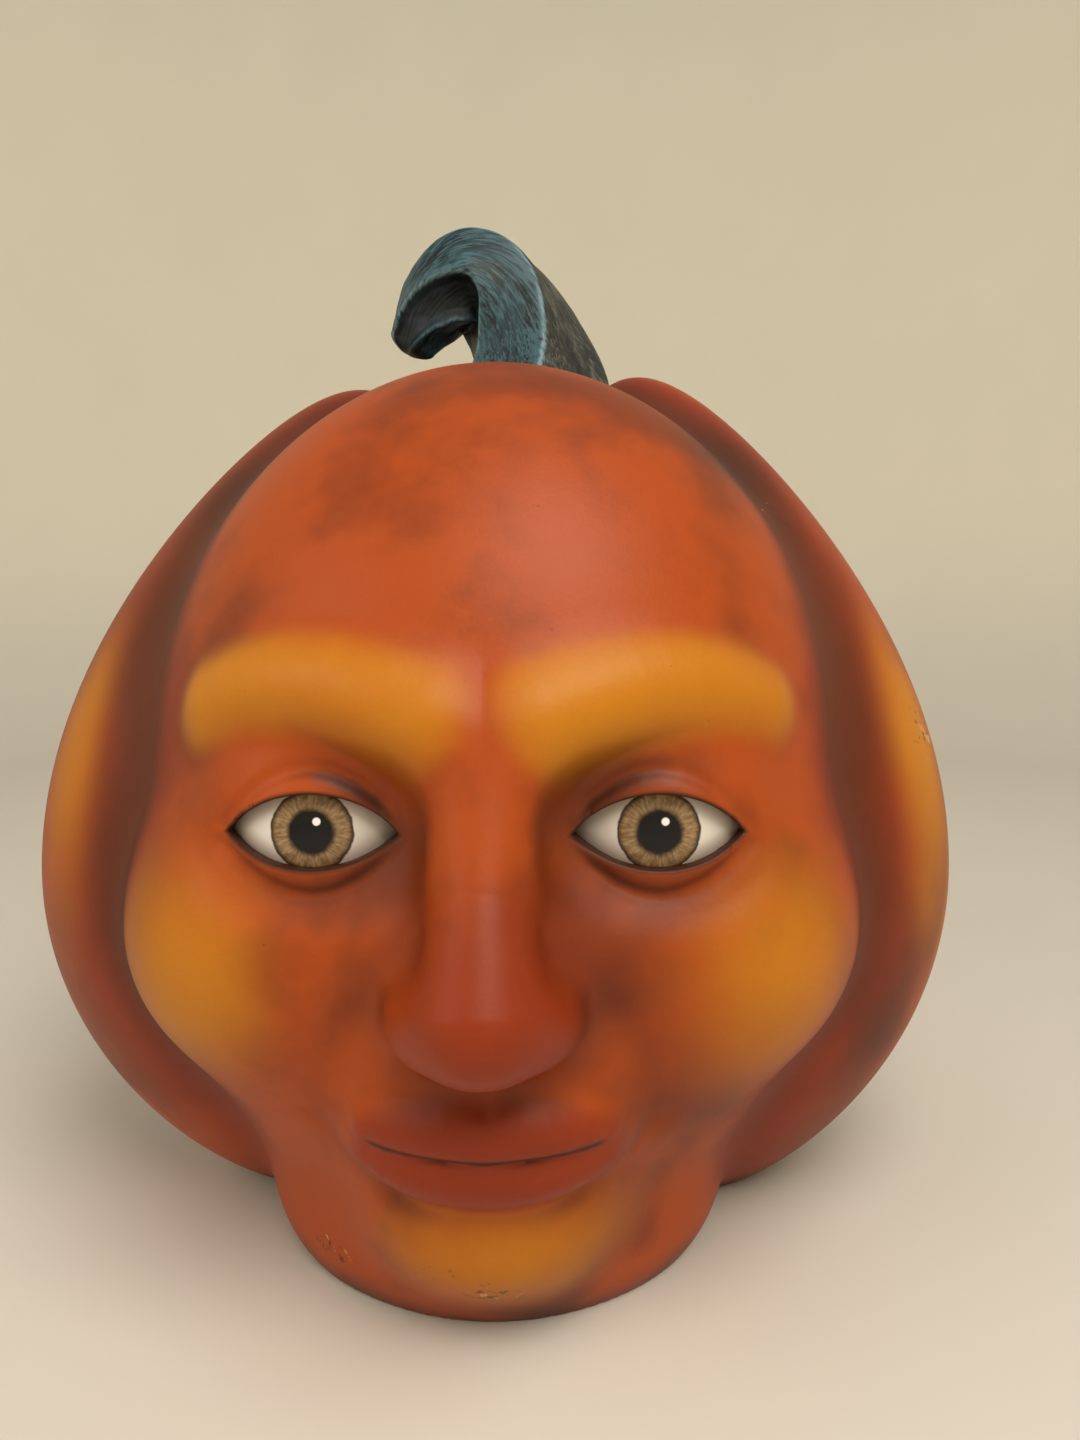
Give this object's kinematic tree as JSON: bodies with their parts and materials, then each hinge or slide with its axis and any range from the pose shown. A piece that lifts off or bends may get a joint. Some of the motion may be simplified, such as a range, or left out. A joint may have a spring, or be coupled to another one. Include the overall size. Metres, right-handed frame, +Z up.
{
  "type": "decorative face pumpkin",
  "caption": "Painted cast pumpkin ornament with lobes, a calm sculpted face, glossy inset eyes and a curled blue-green stem, standing on a flat foot",
  "frame": {"origin": "the middle of the flat foot, on the surface that it stands on", "axes": "+Z up, the face looks along -Y, +X to the right as seen from in front"},
  "size_m": [0.2712, 0.2989, 0.2738],
  "materials": {
    "painted_body": "airbrushed satin paint on a cast body, orange with yellow crests and brown grooves",
    "painted_stem": "brushed blue-green paint over dark grey",
    "painted_eye": "gloss paint, off-white with a brown iris and a black pupil"
  },
  "bodies": {
    "root": {"body": "painted_body", "stem": "painted_stem", "eye_left": "painted_eye", "eye_right": "painted_eye"}
  },
  "joints": []
}
